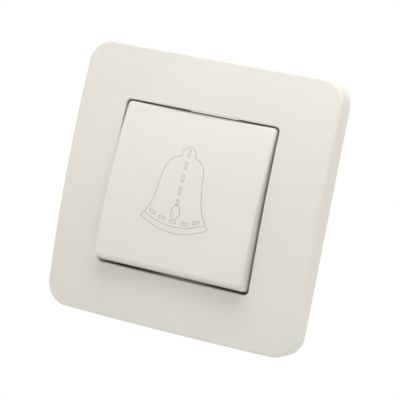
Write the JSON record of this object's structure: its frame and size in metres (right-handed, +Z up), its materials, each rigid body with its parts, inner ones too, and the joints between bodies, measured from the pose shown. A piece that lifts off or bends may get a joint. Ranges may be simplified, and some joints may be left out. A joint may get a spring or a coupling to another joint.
{
  "type": "doorbell switch",
  "caption": "Flush-mounted rocker bell push with a square cover frame, a tilted curved key, and a contact mechanism on a steel mounting yoke.",
  "frame": {"origin": "centre of the fixing circle of the yoke, on the wall's surface", "axes": "+Y into the wall, so the front faces -Y; +Z up; +X to the right seen from behind the wall's normal, which is the viewer's right"},
  "size_m": [0.082, 0.0371, 0.082],
  "materials": {
    "cream_frame": "cream moulded plastic, soft gloss",
    "cream_key": "cream moulded plastic, soft gloss",
    "inner_plastic": "natural moulded plastic",
    "base_plastic": "light grey moulded plastic",
    "zinc_steel": "zinc plated steel",
    "brass": "plain brass strip",
    "contact_silver": "silver alloy contact",
    "spring_steel": "drawn spring wire"
  },
  "bodies": {
    "base": {"base_housing": "base_plastic", "cover_frame": "cream_frame", "mounting_yoke": "zinc_steel", "yoke_rivets": "zinc_steel", "contact_cover": "inner_plastic", "cover_screws": "zinc_steel", "return_spring": "spring_steel", "contact_strip_left": "brass", "contact_strip_right": "brass", "fixed_contact_left": "contact_silver", "fixed_contact_right": "contact_silver", "terminal_cage_left": "zinc_steel", "terminal_cage_right": "zinc_steel", "terminal_screws": "zinc_steel", "claw_screws": "zinc_steel"},
    "rocker": {"rocker_key": "cream_key", "rocker_carrier": "inner_plastic"},
    "plunger": {"contact_plunger": "inner_plastic", "contact_bridge": "brass", "moving_contact_left": "contact_silver", "moving_contact_right": "contact_silver"},
    "claw_left": {"claw_left": "zinc_steel"},
    "claw_right": {"claw_right": "zinc_steel"}
  },
  "joints": [
    {"name": "rocker_press", "type": "hinge", "parent": "base", "child": "rocker", "pos_m": [0, -0.0065, 0.00015], "axis": [1, 0, 0], "range_deg": [0, 8], "stiffness_Nm_per_rad": 0.3, "springref_deg": -8.59, "deforming": ["return_spring"]},
    {"name": "plunger_slide", "type": "slide", "parent": "base", "child": "plunger", "axis": [0, 1, 0], "range_m": [0, 0.0017]},
    {"name": "claw_left_swing", "type": "hinge", "parent": "base", "child": "claw_left", "pos_m": [-0.0225, 0.0045, 0], "axis": [0, 0, 1], "range_deg": [0, 20]},
    {"name": "claw_right_swing", "type": "hinge", "parent": "base", "child": "claw_right", "pos_m": [0.0225, 0.0045, 0], "axis": [0, 0, -1], "range_deg": [0, 20]}
  ],
  "couplings": [
    {"joint": "plunger_slide", "follows": "rocker_press", "m_per_rad": 0.011981}
  ]
}
